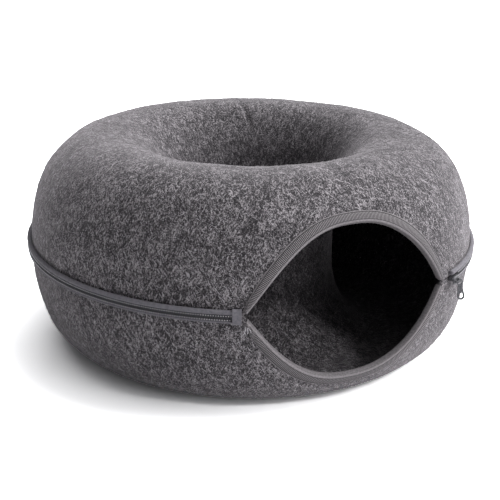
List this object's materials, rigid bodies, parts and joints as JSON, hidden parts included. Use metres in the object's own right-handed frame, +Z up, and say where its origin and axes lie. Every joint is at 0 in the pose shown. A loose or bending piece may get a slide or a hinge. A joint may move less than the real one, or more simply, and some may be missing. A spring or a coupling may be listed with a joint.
{
  "type": "felt cat cave",
  "caption": "Hollow ring of grey moulded felt with a hole through its middle, a bound eye-shaped entrance and a coil zip round its widest line, for a cat to lie in.",
  "frame": {"origin": "on the floor, under the middle of the whole cave", "axes": "+Z up, the entrance faces -Y, +X to the right of someone who faces the same way as +Y"},
  "size_m": [0.5102, 0.4946, 0.233],
  "materials": {
    "felt": "thick needled polyester felt, mottled light and dark grey fibres, matt",
    "ribbed_tape": "ribbed woven polyester tape, soft satin",
    "zip_tape": "close woven polyester zip tape, smooth",
    "coil_nylon": "dark grey nylon coil with pale sewing thread",
    "dark_metal": "dark grey lacquered zinc casting, satin"
  },
  "bodies": {
    "root": {"upper_shell": "felt", "lower_shell": "felt", "upper_binding": "ribbed_tape", "lower_binding": "ribbed_tape", "zip_tape_upper": "zip_tape", "zip_tape_lower": "zip_tape", "zip_chain": "coil_nylon", "zip_end_tab": "zip_tape", "slider": "dark_metal", "pull_tab": "dark_metal"}
  },
  "joints": []
}
